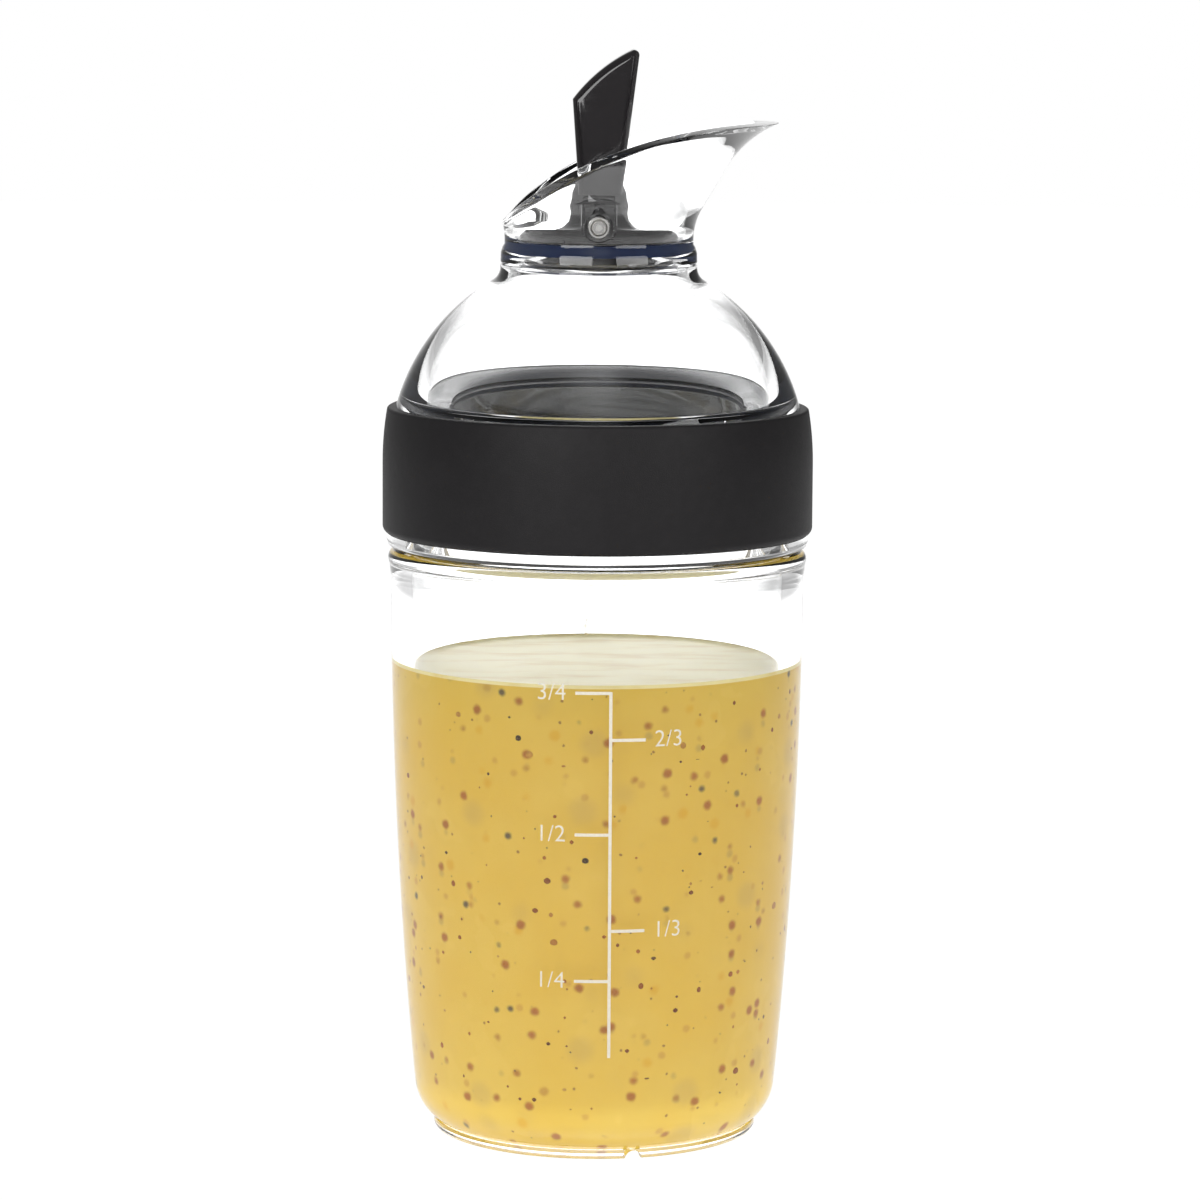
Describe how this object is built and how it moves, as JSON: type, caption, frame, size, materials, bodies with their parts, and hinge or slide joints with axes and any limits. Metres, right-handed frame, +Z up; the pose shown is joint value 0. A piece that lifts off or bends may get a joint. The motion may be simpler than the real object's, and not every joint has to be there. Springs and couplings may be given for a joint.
{
  "type": "salad dressing shaker bottle",
  "caption": "Clear tapered shaker jar with a screwed-on dome lid, black grip band and a trumpet pour spout closed by a tilting lever stopper.",
  "frame": {"origin": "centre of the foot ring, on the surface the bottle stands on", "axes": "+Z up the bottle's axis, +X towards the tip of the pour spout, -Y towards the side with the measuring scale; the lever's pivot pin lies along Y"},
  "size_m": [0.07, 0.07, 0.1765],
  "materials": {
    "jar_clear": "clear polished copolyester plastic",
    "lid_clear": "clear polished copolyester plastic",
    "dressing": "opaque mustard dressing with seeds",
    "gasket_silicone": "dark silicone",
    "grip_rubber": "black soft-touch rubber, fine matte grain",
    "lever_black": "polished black plastic",
    "seal_silicone": "dark blue silicone",
    "pin_steel": "turned stainless steel"
  },
  "bodies": {
    "jar": {"jar": "jar_clear", "dressing": "dressing"},
    "lid_gasket": {"lid_gasket": "gasket_silicone"},
    "lid": {"dome_lid": "lid_clear", "grip_band": "grip_rubber", "pour_spout": "lid_clear", "pivot_pin": "pin_steel"},
    "lever": {"lever": "lever_black", "stopper_seal": "seal_silicone"}
  },
  "joints": [
    {"name": "lid_lift", "type": "slide", "parent": "jar", "child": "lid_gasket", "axis": [0, 0, 1], "range_m": [0, 0.02401]},
    {"name": "lid_turn", "type": "hinge", "parent": "lid_gasket", "child": "lid", "pos_m": [0, 0, 0.11], "axis": [0, 0, 1], "range_deg": [0, 720]},
    {"name": "lever_tilt", "type": "hinge", "parent": "lid", "child": "lever", "pos_m": [0, 0, 0.1486], "axis": [0, -1, 0], "range_deg": [0, 62]}
  ],
  "couplings": [
    {"joint": "lid_lift", "follows": "lid_turn", "m_per_rad": 0.0019099}
  ]
}
